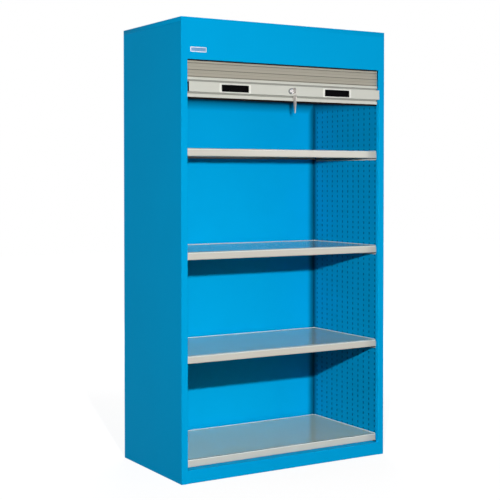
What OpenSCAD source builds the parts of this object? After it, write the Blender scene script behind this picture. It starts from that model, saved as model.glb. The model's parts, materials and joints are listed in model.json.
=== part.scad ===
// Roller shutter cabinet: a steel carcass with a plinth, perforated inner sides, hung shelves, and a slatted
// shutter with a locking bottom bar that runs in guides behind the stiles, below a sprung drum in the header.
// The origin is on the floor at the middle of the carcass: X to the right, Y to the back, Z up.
// Depths named with s are measured from the front plane of the stiles towards the back.

/* [Carcass] */
// Width over the side panels
cabinet_w = 1085; // [1000:5:1200]
// Depth from the stiles to the rear flanges
cabinet_d = 575; // [500:5:650]
// Height from the floor to the roof
cabinet_h = 2000; // [1980:5:2060]
// Thickness of the steel sheet
sheet = 1.2; // [1:0.1:1.4]
// Inner radius of the folds
fold_r = 1.5; // [1:0.1:2]
// Width of each front stile
stile_w = 31; // [28:1:36]
// Depth of the stile's inner return
stile_return = 10; // [9:0.5:10]
// Width of the side panels' rear flanges
rear_flange = 28; // [20:1:40]
// Height of the roof's folded rim
roof_rim = 22; // [14:1:26]
// Height of the fascia's lower edge above the floor
fascia_z = 1821.5; // [1800:0.5:1840]
// Height of the plinth
plinth_h = 57; // [57:1:57]
// Width of the base rails
base_rail_w = 41; // [36:1:46]

/* [Shelves] */
// Height of the bottom shelf's top face
bottom_shelf_z = 92; // [92:0.1:96]
// Height of the lowest hung shelf's top face
first_shelf_z = 543; // [343:25:643]
// Distance from one hung shelf to the next
shelf_step = 450; // [300:25:450]
// Height of a shelf's front lip
shelf_lip = 34.5; // [30:0.5:34.5]
// Width of the fold inside a shelf's lip
shelf_hem = 14; // [10:1:20]
// Place of the shelves' back edge
shelf_back = 268; // [240:1:270]
// Inner radius of the shelves' folds
shelf_bend = 3; // [2:0.5:4]
// How far a bracket reaches below the shelf's lip
bracket_nib = 9; // [6:1:12]

/* [Perforated lining] */
// Distance from one column of slots to the next
slot_pitch_y = 43.8; // [40:0.1:44]
// Distance from one row of slots to the next
slot_pitch_z = 25; // [25:1:25]
// Number of columns of slots
slot_columns = 12; // [6:1:12]
// Number of rows of slots
slot_rows = 67; // [20:1:67]
// Width of a slot
slot_w = 9; // [8:0.5:10]
// Height of a slot
slot_h = 12; // [10:0.5:14]

/* [Shutter] */
// Height of one slat as it shows
slat_pitch = 28.5; // [28.5:0.1:28.5]
// Thickness of a slat's skin and of its tongue
slat_skin = 1.1; // [0.9:0.1:1.1]
// Height of a slat's plain lower lip
slat_lip = 3; // [2:0.5:4]
// Width of the groove above a slat's lower lip
slat_groove = 2; // [1.5:0.1:2.5]
// Depth from the front plane to the lowest slats
curtain_s = 19; // [19:0.1:19.4]
// Gap between one nested set of slats and the next
curtain_gap = 0.5; // [0.4:0.1:0.5]
// Height of the bottom bar
bar_h = 85.5; // [84.5:0.1:87]
// How far the bar's middle band stands in front of the stiles
bar_proud = 6; // [4:0.5:7]
// Wall of the bottom bar
bar_wall = 1.8; // [1.5:0.1:2]
// Height of the rubber seal below the bar
seal_h = 7.5; // [7.5:0.5:7.5]
// Half the distance between the grips' middles
grip_half = 272; // [240:0.5:290]
// How far the middle between the grips lies off the bar's middle
grip_shift = -7.5; // [-10:0.5:10]
// Width of a grip's opening
grip_w = 138; // [100:1:140]
// Height of a grip's opening
grip_h = 30.5; // [24:0.5:31]

/* [Lock] */
// How far the lock lies off the bar's middle
lock_x = 10; // [0:1:12]
// Diameter of the lock's knob
knob_d = 27; // [26:1:34]
// How far the knob stands in front of the stiles
knob_proud = 16; // [14:1:20]
// Diameter of the turning cylinder
cylinder_d = 20; // [16:1:20]
// Clearance round a turning part
running_gap = 0.05; // [0.03:0.01:0.08]
// Travel of each lock rod
rod_travel = 15; // [15:1:15]
// Diameter of a key's bow
bow_d = 27; // [26:0.5:27]
// Radius of the key ring's wire loop
ring_r = 11; // [10:0.5:12]
// Length of the key that hangs on the ring
hanging_key_l = 80; // [60:1:82]

/* [Drum] */
// Depth from the front plane to the drum's axle
drum_s = 128; // [120:1:160]
// Height of the drum's axle
drum_z = 1905; // [1895:1:1915]
// Diameter of the drum's tube
drum_d = 60; // [50:1:64]
// Diameter of the drum's end discs
disc_d = 134; // [120:1:140]
// Diameter of the fixed axle
axle_d = 20; // [16:1:22]

/* [Hidden] */

blue = "#0da3df";
pale_grey = "#d2d0c6";
slat_grey = "#b5b1a5";
zinc = "#b9bcbe";
dark_zinc = "#8d9194";
nickel = "#cfd1d0";
nylon = "#efeee6";
half_sheet = sheet / 2;
front = -cabinet_d / 2;
side_x = cabinet_w / 2 - sheet;
open_x = cabinet_w / 2 - stile_w;
roof_z = cabinet_h - roof_rim;
back_y = cabinet_d / 2 - 2 * sheet;
bend_steps = 4;
round_fn = 48;
fascia_lip_s = 12;
fascia_lip_h = 10;

// The curtain: eight sets of eight slats, nested behind the fascia while the shutter is open
set_count = 8;
slats_per_set = 8;
set_step = 2 * slat_skin + curtain_gap;
curtain_back_s = curtain_s + (set_count - 1) * set_step + 2 * slat_skin;
travel = (set_count - 1) * slats_per_set * slat_pitch;
landing_gap = 0.4;
bar_z = plinth_h + landing_gap + seal_h + travel;
bar_x = open_x - 3.5;
bar_back_s = curtain_s + slat_skin;
cap_w = 6;
flange_t = 1.5;
slat_x = side_x - 5.3;
slat_tongue = 6;
slat_gap = 0.4;

// The guides take the slat ends behind a front lip that leaves room for the lock rods
guide_lip_s = curtain_s - 0.8 - sheet;
lining_x = side_x - 11.3;
lining_s = curtain_back_s + sheet;
lining_top = 1815;
guide_top = 1935;
base_top = bottom_shelf_z - shelf_lip;
shelf_s = lining_s + 1.7;
ledge_s = shelf_s + 18;
bracket_t = 1.6;
shelf_x = lining_x - bracket_t - 0.8;
first_slot = [front + lining_s + 14, 98];
hook_columns = [1, 5, 10];
anchor_x = 520;
anchor_y = 200;
anchor_r = 6;
access_r = 13;

// The bar's section, as heights above its lower edge
rim_h = 14.2;
band_low = 21.8;
band_high = 65.5;
top_rim_z = 75;
axis_h = 41.9;
rim_s = 11;
groove_s = 15;
grip_x = [grip_shift - grip_half, grip_shift + grip_half];
axis_z = bar_z + axis_h;
grip_open = [grip_w, grip_h];
cup_wall = 1.5;
cup_back_s = 9.5;
rod_s = 12;
rod_t = 3;
rod_h = 12;
rod_end = 2;
pin_r = 2;
pin_xz = rod_travel / 2;
thread_d = 24;
body_back_s = 5;
neck_d = 8;
cam_s = 9;
cam_t = 2.4;

// The rods' catches, and the ears of the bar's end caps that meet the stops
strike_x = open_x + 7.5;
ear_z = [76, 84];

// The drum's tube and the plates that carry its axle
tube_x = 512;
tube_wall = 2;
spring_x = 350;
spring_d = 44;
plug_l = 24;
bracket_plate = 4;
bracket_half = [46, 52];
screw_offset = [32, 38];
screw_d = 6;

// The keys, measured from the lock's face
bow_hole_r = 4.6;
bow_hole_offset = 4;
wire_r = 0.9;
key_t = 2.6;
blade_t = 2.2;
blade_h = 8;
key_neck = 6;
hanging_neck = 14;
bow_s = -knob_proud - key_neck - bow_d / 2 + 1;
ring_s = bow_s - bow_hole_offset;
wire_gap = 0.3;
ring_z = axis_z - bow_hole_r + wire_r + wire_gap - ring_r;
hang_z = ring_z - ring_r - bow_hole_r + wire_r + wire_gap;

function unit(v) = v / norm(v);
function left_normal(v) = [-v[1], v[0]];
function turned(v, a) = [v[0] * cos(a) - v[1] * sin(a), v[0] * sin(a) + v[1] * cos(a)];
function turn_angle(a, b) = atan2(a[0] * b[1] - a[1] * b[0], a * b);

// One side of a folded sheet's section: k is 1 on the left of the path and -1 on the right
function fold_side(path, t, r, k) = [
    for (i = [0:len(path) - 1])
        let (
            last = len(path) - 1,
            d0 = unit(i == 0 ? path[1] - path[0] : path[i] - path[i - 1]),
            d1 = unit(i == last ? path[last] - path[last - 1] : path[i + 1] - path[i]),
            a = turn_angle(d0, d1),
            turn = a > 0 ? 1 : -1,
            mid_r = r + t / 2,
            centre = path[i] - d0 * mid_r * tan(abs(a) / 2) + left_normal(d0) * turn * mid_r
        )
        each (i == 0 || i == last
            ? [path[i] + left_normal(d0) * k * t / 2]
            : [for (j = [0:bend_steps])
                centre + turned(left_normal(d0) * (k * t / 2 - turn * mid_r), a * j / bend_steps)])
];

function reversed(v) = [for (i = [len(v) - 1:-1:0]) v[i]];

// Outline of a sheet folded along a centre line
function folded_outline(path, t = sheet, r = fold_r) =
    concat(fold_side(path, t, r, 1), reversed(fold_side(path, t, r, -1)));

// A closed outline with every corner rounded to radius r
function rounded_outline(pts, r) = [
    for (i = [0:len(pts) - 1])
        let (
            n = len(pts),
            d0 = unit(pts[i] - pts[(i + n - 1) % n]),
            d1 = unit(pts[(i + 1) % n] - pts[i]),
            a = turn_angle(d0, d1),
            turn = a > 0 ? 1 : -1,
            centre = pts[i] - d0 * r * tan(abs(a) / 2) + left_normal(d0) * turn * r
        )
        each [for (j = [0:bend_steps]) centre + turned(-left_normal(d0) * turn * r, a * j / bend_steps)]
];

function rectangle(w, h) = [[-w / 2, -h / 2], [w / 2, -h / 2], [w / 2, h / 2], [-w / 2, h / 2]];

// A block from its lowest corner to its highest
module block(low, high) {
    translate(low) cube(high - low);
}

// Sections drawn as depth and height, extruded along X
module along_x(x0, x1) {
    translate([x0, 0, 0]) rotate([90, 0, 90]) linear_extrude(x1 - x0) children();
}

// A round bar along X or Y
module bar_x(x0, x1, d, y, z) {
    translate([x0, y, z]) rotate([0, 90, 0]) cylinder(h = x1 - x0, d = d, $fn = round_fn);
}
module bar_y(y0, y1, d, x, z) {
    translate([x, y0, z]) rotate([-90, 0, 0]) cylinder(h = y1 - y0, d = d, $fn = round_fn);
}

module mirrored_pair() {
    children();
    mirror([1, 0, 0]) children();
}

// Carcass

// A sheet with a front stile and a rear flange; the stile turns inwards only along the opening
module right_side() {
    plain = [
        [open_x, front + half_sheet], [cabinet_w / 2 - half_sheet, front + half_sheet],
        [cabinet_w / 2 - half_sheet, -front - half_sheet],
        [cabinet_w / 2 - rear_flange, -front - half_sheet]
    ];
    returned = [
        [open_x + half_sheet, front + stile_return], [open_x + half_sheet, front + half_sheet],
        plain[1], plain[2], plain[3]
    ];
    linear_extrude(plinth_h) polygon(folded_outline(plain));
    translate([0, 0, plinth_h]) linear_extrude(fascia_z - plinth_h) polygon(folded_outline(returned));
    translate([0, 0, fascia_z]) linear_extrude(roof_z - fascia_z) polygon(folded_outline(plain));
}

module left_side_panel() { color(blue) mirror([1, 0, 0]) right_side(); }
module right_side_panel() { color(blue) right_side(); }

module back_panel() {
    half_w = side_x - fold_r;
    color(blue) block([-half_w, back_y, 0], [half_w, back_y + sheet, roof_z]);
}

// A shallow cap whose rim stands on the side panels
module roof_panel() {
    corner = fold_r + sheet;
    color(blue) difference() {
        translate([0, 0, roof_z]) linear_extrude(roof_rim)
            polygon(rounded_outline(rectangle(cabinet_w, cabinet_d), corner));
        translate([0, 0, roof_z - sheet]) linear_extrude(roof_rim)
            polygon(rounded_outline(rectangle(cabinet_w - 2 * sheet, cabinet_d - 2 * sheet), fold_r));
    }
}

// A plain sheet between the stiles, with a hooked lip along its lower edge
module front_fascia() {
    path = [
        [front + fascia_lip_s, fascia_z + fascia_lip_h], [front + fascia_lip_s, fascia_z + half_sheet],
        [front + half_sheet, fascia_z + half_sheet], [front + half_sheet, roof_z]
    ];
    color(blue) along_x(-open_x, open_x) polygon(folded_outline(path));
}

// A rubber strip on the fascia's lip that closes the gap to the slats
module fascia_seal() {
    strip_t = 2;
    drop = 5;
    low_y = front + fascia_lip_s + half_sheet;
    color("#26282a") block([-bar_x, low_y, fascia_z - drop],
                           [bar_x, low_y + strip_t, fascia_z + fascia_lip_h]);
}

// The plinth's top is the ledge that the closed shutter lands on
module plinth() {
    foot_s = 20;
    skirt = 14;
    path = [
        [front + foot_s, half_sheet], [front + half_sheet, half_sheet],
        [front + half_sheet, plinth_h - half_sheet], [front + ledge_s, plinth_h - half_sheet],
        [front + ledge_s, plinth_h - skirt]
    ];
    color(blue) along_x(-open_x, open_x) polygon(folded_outline(path));
}

// A channel on the floor, with anchor holes in its foot and access holes above them
module right_rail() {
    low_y = front + ledge_s + sheet;
    high_y = back_y - fold_r;
    path = [
        [side_x - base_rail_w, half_sheet], [side_x - half_sheet, half_sheet],
        [side_x - half_sheet, base_top - half_sheet], [side_x - base_rail_w, base_top - half_sheet]
    ];
    difference() {
        translate([0, high_y, 0]) rotate([90, 0, 0]) linear_extrude(high_y - low_y)
            polygon(folded_outline(path));
        for (y = [-anchor_y, anchor_y]) {
            translate([anchor_x, y, -sheet]) cylinder(h = 3 * sheet, r = anchor_r, $fn = round_fn);
            translate([anchor_x, y, base_top - 2 * sheet])
                cylinder(h = 3 * sheet, r = access_r, $fn = round_fn);
        }
    }
}

module left_base_rail() { color(blue) mirror([1, 0, 0]) right_rail(); }
module right_base_rail() { color(blue) right_rail(); }

module rear_base_rail() {
    rail_x = side_x - base_rail_w;
    path = [
        [back_y - base_rail_w, half_sheet], [back_y - half_sheet, half_sheet],
        [back_y - half_sheet, base_top - half_sheet], [back_y - base_rail_w, base_top - half_sheet]
    ];
    color(blue) along_x(-rail_x, rail_x) polygon(folded_outline(path));
}

// Blind rivets through the rear flanges into the back panel
module back_rivets() {
    rivet_d = 8;
    rivet_head = 1.4;
    rivets = 9;
    rivet_step = 230;
    first_rivet = 75;
    rivet_x = cabinet_w / 2 - rear_flange / 2;
    color(zinc)
        for (x = [-rivet_x, rivet_x], i = [0:rivets - 1])
            bar_y(-front, -front + rivet_head, rivet_d, x, first_rivet + rivet_step * i);
}

// The bare plate on the fascia
module label_plate() {
    plate = [78, 21.5];
    plate_low = [-498.5, 1852.3];
    color("white") translate([0, front, 0]) rotate([90, 0, 0]) linear_extrude(0.8)
        translate(plate_low + plate / 2) polygon(rounded_outline(rectangle(plate[0], plate[1]), 1.5));
}

// Shelves

// A tray with a lip front and back, hemmed below, and a flange down each end
module shelf(top) {
    end_h = 20;
    low = front + shelf_s + half_sheet;
    high = shelf_back - half_sheet;
    path = [
        [low + shelf_hem, top - shelf_lip + half_sheet], [low, top - shelf_lip + half_sheet],
        [low, top - half_sheet], [high, top - half_sheet],
        [high, top - shelf_lip + half_sheet], [high - shelf_hem, top - shelf_lip + half_sheet]
    ];
    color(pale_grey) {
        along_x(-shelf_x, shelf_x) polygon(folded_outline(path, sheet, shelf_bend));
        mirrored_pair() block(
            [shelf_x - sheet, low + shelf_bend, top - end_h], [shelf_x, high - shelf_bend, top - half_sheet]);
    }
}

function shelf_z(n) = first_shelf_z + (3 - n) * shelf_step;

module bottom_shelf() { shelf(bottom_shelf_z); }

// An angle along the lining, hooked through three slots, with a rounded front nib
module right_bracket(top) {
    ledge_w = 22;
    up = 8;
    low_z = top - shelf_lip - bracket_nib;
    y0 = front + shelf_s + 1;
    y1 = shelf_back - 8;
    nib_r = 8;
    hook_t = 4;
    hook_out = lining_x + sheet + 3;
    plate = [[y0 + nib_r, low_z], [y1, low_z], [y1, top - up], [y0, top - up], [y0, low_z + nib_r]];
    along_x(lining_x - bracket_t, lining_x) union() {
        polygon(plate);
        translate([y0 + nib_r, low_z + nib_r]) circle(r = nib_r, $fn = round_fn);
    }
    block([lining_x - bracket_t - ledge_w, y0, top - shelf_lip - bracket_t],
          [lining_x - bracket_t, y1, top - shelf_lip]);
    for (c = hook_columns) {
        y = first_slot[0] + slot_pitch_y * c;
        row = round((top - shelf_lip / 2 - first_slot[1]) / slot_pitch_z);
        z = first_slot[1] + slot_pitch_z * row;
        block([lining_x, y - hook_t / 2, z - slot_h / 2 + 0.5], [hook_out, y + hook_t / 2, z + 2]);
        block([lining_x + sheet, y - hook_t / 2, z - slot_h / 2 - 4], [hook_out, y + hook_t / 2, z + 2]);
    }
}

module shelf_brackets(n) { color(pale_grey) mirrored_pair() right_bracket(shelf_z(n)); }

// A flanged sheet with rows of slots over its whole height
module right_lining() {
    low_y = front + lining_s;
    union() {
        translate([lining_x, 0, 0]) rotate([90, 0, 90]) linear_extrude(sheet) difference() {
            translate([low_y, base_top]) square([back_y - low_y, lining_top - base_top]);
            for (c = [0:slot_columns - 1], r = [0:slot_rows - 1])
                translate([first_slot[0] + slot_pitch_y * c - slot_w / 2,
                           first_slot[1] + slot_pitch_z * r - slot_h / 2])
                    square([slot_w, slot_h]);
        }
        block([lining_x, low_y, base_top], [side_x, low_y + sheet, lining_top]);
        block([lining_x, back_y - sheet, base_top], [side_x - fold_r, back_y, lining_top]);
    }
}

module left_perforated_lining() { color(blue) mirror([1, 0, 0]) right_lining(); }
module right_perforated_lining() { color(blue) right_lining(); }

// Guides

module right_channel() {
    lip = front + guide_lip_s + half_sheet;
    rear = front + lining_s - half_sheet;
    path = [
        [open_x, lip], [side_x - half_sheet, lip], [side_x - half_sheet, rear], [lining_x, rear]
    ];
    linear_extrude(guide_top) polygon(folded_outline(path, sheet, 0.3));
}

module left_guide() { color(blue) mirror([1, 0, 0]) right_channel(); }
module right_guide() { color(blue) right_channel(); }

// Forked plates that the lock rods reach into while the shutter is down
module strike_plates() {
    strike_h = 28;
    mouth_h = rod_h + 1.2;
    mouth_end = strike_x + 11;
    z = axis_z - travel;
    color(dark_zinc) mirrored_pair() difference() {
        block([strike_x, front + stile_return + 0.6, z - strike_h / 2],
              [side_x, front + guide_lip_s, z + strike_h / 2]);
        block([strike_x - 1, front, z - mouth_h / 2], [mouth_end, front + guide_lip_s + 1, z + mouth_h / 2]);
    }
}

// Rubber strips beside the slats, which the ears of the bar's end caps stop against
module stop_blocks() {
    stop_h = 78;
    low_z = bar_z + ear_z[1] + 0.4;
    color("#26282a") mirrored_pair()
        block([open_x + sheet + 0.2, front + stile_return + 0.6, low_z],
              [side_x, front + guide_lip_s, low_z + stop_h]);
}

// Drum

module right_drum_plate() {
    x0 = side_x - bracket_plate;
    difference() {
        translate([0, front + drum_s, drum_z]) along_x(x0, side_x)
            polygon(rounded_outline(rectangle(2 * bracket_half[0], 2 * bracket_half[1]), 8));
        bar_x(x0 - 1, side_x + 1, axle_d + 2 * running_gap, front + drum_s, drum_z);
        for (y = [-1, 1], z = [-1, 1])
            bar_x(x0 - 1, side_x + 1, screw_d + 0.2,
                  front + drum_s + y * screw_offset[0], drum_z + z * screw_offset[1]);
    }
}

module left_drum_bracket() { color(dark_zinc) mirror([1, 0, 0]) right_drum_plate(); }
module right_drum_bracket() { color(dark_zinc) right_drum_plate(); }

module bracket_screws() {
    x0 = side_x - bracket_plate;
    head = [10, 4];
    color(zinc) mirrored_pair() for (y = [-1, 1], z = [-1, 1]) {
        translate([x0 - head[1], front + drum_s + y * screw_offset[0], drum_z + z * screw_offset[1]])
            rotate([0, 90, 0]) cylinder(h = head[1], d = head[0], $fn = 6);
        bar_x(x0 - 1, side_x, screw_d, front + drum_s + y * screw_offset[0], drum_z + z * screw_offset[1]);
    }
}

module drum_axle() { color(zinc) bar_x(-side_x, side_x, axle_d, front + drum_s, drum_z); }

module drum_tube() {
    color(zinc) difference() {
        bar_x(-tube_x, tube_x, drum_d, front + drum_s, drum_z);
        bar_x(-tube_x - 1, tube_x + 1, drum_d - 2 * tube_wall, front + drum_s, drum_z);
    }
}

// A ring about the drum's axle
module drum_ring(x0, x1, outer_d, inner_d) {
    difference() {
        bar_x(x0, x1, outer_d, front + drum_s, drum_z);
        bar_x(x0 - 1, x1 + 1, inner_d, front + drum_s, drum_z);
    }
}

module drum_bushes() {
    bush_l = 30;
    color(nylon) mirrored_pair()
        drum_ring(tube_x - bush_l, tube_x, drum_d - 2 * tube_wall, axle_d + 2 * running_gap);
}

module drum_discs() {
    disc_t = 3;
    color(zinc) mirrored_pair() drum_ring(tube_x, tube_x + disc_t, disc_d, axle_d + 4);
}

// The spring's stretch as a plain sleeve between its anchor on the axle and its plug in the tube
module torsion_spring() { color("#5d6166") drum_ring(-spring_x, spring_x, spring_d, spring_d - 12); }
module spring_anchor() {
    color(dark_zinc) drum_ring(spring_x, spring_x + plug_l, spring_d + 6, axle_d + 2 * running_gap);
}
module spring_plug() {
    x1 = -spring_x - 0.5;
    color(dark_zinc) drum_ring(x1 - plug_l, x1, drum_d - 2 * tube_wall, axle_d + 2 * running_gap);
}

// Steel straps from the drum's top down the back of the uppermost slats
module curtain_hangers() {
    strap_t = 1;
    strap_w = 40;
    drop = 60;
    rise = [24, 12];
    tube_gap = 0.6;
    s0 = curtain_back_s + strap_t / 2;
    crown = drum_z + drum_d / 2 + tube_gap + strap_t / 2;
    path = [
        [front + s0, crown - drop], [front + s0, crown - rise[1]],
        [front + s0 + rise[0], crown], [front + drum_s, crown]
    ];
    color(zinc) for (x = [-380, 0, 380])
        along_x(x - strap_w / 2, x + strap_w / 2) polygon(folded_outline(path, strap_t, 6));
}

// Shutter

// A slat: a skin with a groove over its lower lip and a shallow rib line, and a tongue that hangs behind the
// slat below
function slat_outline() =
    let (
        top = slat_pitch - slat_gap, t = slat_skin, deep = 0.8, shallow = 0.45, slope = 0.4,
        low = slat_lip, high = slat_lip + slat_groove, rib = (low + high + slat_pitch) / 2, root = high + 3
    )
    [
        [t, 0], [0, 0], [0, low - slope], [deep, low], [deep, high], [0, high + slope],
        [0, rib - 3 * slope], [shallow, rib - slope], [shallow, rib + slope], [0, rib + 3 * slope],
        [0, top], [t, top], [t, root], [2 * t, root], [2 * t, -slat_tongue], [t, -slat_tongue]
    ];

module slats(n) {
    s = curtain_s + (n - 1) * set_step;
    color(slat_grey) for (i = [0:slats_per_set - 1])
        translate([0, front + s, bar_z + bar_h + slat_pitch * i])
            along_x(-slat_x, slat_x) polygon(slat_outline());
}

// The bar's outline as depth and height, drawn in by a wall's thickness for its hollow
function bar_outline(w) = [
    [rim_s + w, w], [bar_back_s - w, w], [bar_back_s - w, bar_h - w], [rim_s + w, bar_h - w],
    [rim_s + w, top_rim_z + w], [groove_s + w, top_rim_z + w], [groove_s + w, band_high - w],
    [w - bar_proud, band_high - w], [w - bar_proud, band_low + w], [groove_s + w, band_low + w],
    [groove_s + w, rim_h - w], [rim_s + w, rim_h - w]
];

module shutter_bar() {
    cup = grip_open + [2, 2] * cup_wall;
    color(pale_grey) translate([0, front, bar_z]) difference() {
        along_x(-bar_x, bar_x) difference() {
            polygon(rounded_outline(bar_outline(0), 1.4));
            polygon(bar_outline(bar_wall));
        }
        for (x = grip_x)
            block([x - cup[0] / 2, -bar_proud - 1, axis_h - cup[1] / 2],
                  [x + cup[0] / 2, bar_wall, axis_h + cup[1] / 2]);
        bar_y(-bar_proud - 1, bar_wall, thread_d + 2 * running_gap, lock_x, axis_h);
    }
}

// A plug in the bar's end, slotted for the lock rod, with a flange that carries a guide blade behind the
// stile and an ear for the stop
module right_cap() {
    blade_s = [curtain_s - 0.2, curtain_s + 2 * slat_skin];
    blade_z = [4, 76];
    ear_s = [rod_s - 0.5, rod_s + 4];
    slot = [rod_t + 0.8, rod_h + 0.8];
    difference() {
        union() {
            translate([0, front, bar_z]) along_x(bar_x - cap_w, bar_x) polygon(bar_outline(bar_wall));
            block([bar_x, front + ear_s[0], bar_z + blade_z[0]],
                  [bar_x + flange_t, front + bar_back_s, bar_z + ear_z[1]]);
            block([bar_x, front + blade_s[0], bar_z + blade_z[0]],
                  [slat_x, front + blade_s[1], bar_z + blade_z[1]]);
            block([bar_x, front + ear_s[0], bar_z + ear_z[0]],
                  [strike_x - 2, front + ear_s[1], bar_z + ear_z[1]]);
        }
        block([bar_x - cap_w - 1, front + rod_s + (rod_t - slot[0]) / 2, axis_z - slot[1] / 2],
              [bar_x + flange_t + 1, front + rod_s + (rod_t + slot[0]) / 2, axis_z + slot[1] / 2]);
    }
}

module left_bar_cap() { color("#2a2b2d") mirror([1, 0, 0]) right_cap(); }
module right_bar_cap() { color("#2a2b2d") right_cap(); }

module bottom_seal() {
    seal_x = bar_x - 1.5;
    inset = 2;
    color("#1d1e20") block([-seal_x, front + rim_s + inset, bar_z - seal_h],
                           [seal_x, front + bar_back_s - inset, bar_z]);
}

// Grips

module grip_frames() {
    frame_t = 2;
    frame_rim = [19, 9];
    outer = grip_open + frame_rim;
    color(pale_grey) for (x = grip_x)
        translate([x, front - bar_proud, axis_z]) rotate([90, 0, 0]) linear_extrude(frame_t) difference() {
            polygon(rounded_outline(rectangle(outer[0], outer[1]), 3));
            polygon(rounded_outline(rectangle(grip_open[0], grip_open[1]), 2));
        }
}

module grip_cups() {
    outer = grip_open + [2, 2] * cup_wall;
    inner = grip_open;
    color("#0c0d0e") for (x = grip_x) translate([x, front, axis_z]) difference() {
        block([-outer[0] / 2, -bar_proud, -outer[1] / 2], [outer[0] / 2, cup_back_s, outer[1] / 2]);
        block([-inner[0] / 2, -bar_proud - 1, -inner[1] / 2],
              [inner[0] / 2, cup_back_s - cup_wall, inner[1] / 2]);
    }
}

// Lock

module lock_housing() {
    ease = 2.5;
    profile = [
        [cylinder_d / 2 + running_gap, -knob_proud], [knob_d / 2 - ease, -knob_proud],
        [knob_d / 2, -knob_proud + ease], [knob_d / 2, -bar_proud], [thread_d / 2, -bar_proud],
        [thread_d / 2, body_back_s], [cylinder_d / 2 + running_gap, body_back_s]
    ];
    color("#d8dadb") translate([lock_x, front, axis_z]) rotate([-90, 0, 0])
        rotate_extrude($fn = round_fn) polygon(profile);
}

module lock_nut() {
    nut_h = 4;
    nut_d = 34;
    color(zinc) difference() {
        translate([lock_x, front - bar_proud + bar_wall, axis_z]) rotate([-90, 0, 0])
            cylinder(h = nut_h, d = nut_d, $fn = 6);
        bar_y(front - bar_proud, front - bar_proud + bar_wall + nut_h + 1,
              thread_d + 2 * running_gap, lock_x, axis_z);
    }
}

module lock_cylinder() {
    keyway = [blade_t + 0.4, blade_h + 0.6];
    face = -knob_proud - 0.4;
    keyway_s = 2.5;
    color(nickel) difference() {
        union() {
            bar_y(front + face, front + body_back_s + 1, cylinder_d, lock_x, axis_z);
            bar_y(front + body_back_s + 1, front + cam_s + cam_t, neck_d, lock_x, axis_z);
        }
        block([lock_x - keyway[0] / 2, front + face - 1, axis_z - keyway[1] / 2],
              [lock_x + keyway[0] / 2, front + keyway_s, axis_z + keyway[1] / 2]);
    }
}

// A disc with two pins that drive the rods apart
module lock_cam() {
    cam_d = 28;
    pin_end = rod_s + rod_t + 0.6;
    color(zinc) {
        difference() {
            bar_y(front + cam_s, front + cam_s + cam_t, cam_d, lock_x, axis_z);
            bar_y(front + cam_s - 1, front + cam_s + cam_t + 1, neck_d, lock_x, axis_z);
        }
        for (k = [-1, 1])
            bar_y(front + cam_s + cam_t, front + pin_end, 2 * pin_r, lock_x + k * pin_xz,
                  axis_z - k * pin_xz);
    }
}

// A flat bar with a slotted tab over the cam, from the lock's axis to the bar's end
module lock_rod(end_x) {
    start_x = 20;
    tab = [[-13, 3], [24, 16]];
    slot = [[-pin_xz - 2.4, 4.9], [-pin_xz + 2.4, 13.3]];
    difference() {
        union() {
            block([start_x, rod_s, -rod_h / 2], [end_x, rod_s + rod_t, rod_h / 2]);
            block([tab[0][0], rod_s, tab[0][1]], [tab[1][0], rod_s + rod_t, tab[1][1]]);
        }
        block([slot[0][0], rod_s - 1, slot[0][1]], [slot[1][0], rod_s + rod_t + 1, slot[1][1]]);
    }
}

module right_lock_rod() {
    color(zinc) translate([lock_x, front, axis_z]) lock_rod(bar_x + rod_end - lock_x);
}
module left_lock_rod() {
    color(zinc) translate([lock_x, front, axis_z]) rotate([0, 180, 0]) lock_rod(bar_x + rod_end + lock_x);
}

// Blocks inside the bar that the rods slide through
module rod_guides() {
    half_w = 6;
    half_h = 11;
    gap = 0.3;
    color(nylon) for (x = [-440, -150, 150, 440]) difference() {
        block([x - half_w, front + rod_s - 1.8, axis_z - half_h],
              [x + half_w, front + bar_back_s - bar_wall, axis_z + half_h]);
        block([x - half_w - 1, front + rod_s - gap, axis_z - rod_h / 2 - gap],
              [x + half_w + 1, front + rod_s + rod_t + gap, axis_z + rod_h / 2 + gap]);
    }
}

// A key's flat outline, bow at the origin and blade along +X, with the ring's hole off centre
module key_outline(neck, blade) {
    reach = bow_d / 2 - 1 + neck;
    shoulder = [bow_d / 4, bow_d * 0.43];
    tip = 3;
    difference() {
        union() {
            circle(d = bow_d, $fn = round_fn);
            polygon([[shoulder[0], -shoulder[1]], [reach, -blade_h / 2], [reach + blade - tip, -blade_h / 2],
                     [reach + blade, -1], [reach + blade, 1], [reach + blade - tip, blade_h / 2],
                     [reach, blade_h / 2], [shoulder[0], shoulder[1]]]);
        }
        translate([-bow_hole_offset, 0]) circle(r = bow_hole_r, $fn = round_fn);
    }
}

// The key in the lock, thinner where its blade enters the cylinder
module lock_key() {
    blade = 17;
    color(nickel) translate([lock_x, front + bow_s, axis_z]) difference() {
        rotate([90, 0, 90]) translate([0, 0, -key_t / 2]) linear_extrude(key_t)
            key_outline(key_neck, blade);
        for (k = [0, 1]) mirror([k, 0, 0])
            block([blade_t / 2, bow_d / 2 - 2 + key_neck, -blade_h],
                  [key_t, bow_d + key_neck + blade, blade_h]);
    }
}

module key_ring() {
    color(nickel) translate([lock_x, front + ring_s, ring_z]) rotate([90, 0, 0])
        rotate_extrude($fn = round_fn) translate([ring_r, 0]) circle(r = wire_r, $fn = 16);
}

module hanging_key() {
    blade = hanging_key_l - bow_d - hanging_neck + 1;
    color(nickel) translate([lock_x, front + ring_s, hang_z - bow_hole_offset])
        rotate([0, 90, 0]) translate([0, 0, -blade_t / 2]) linear_extrude(blade_t)
            key_outline(hanging_neck, blade);
}

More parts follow.
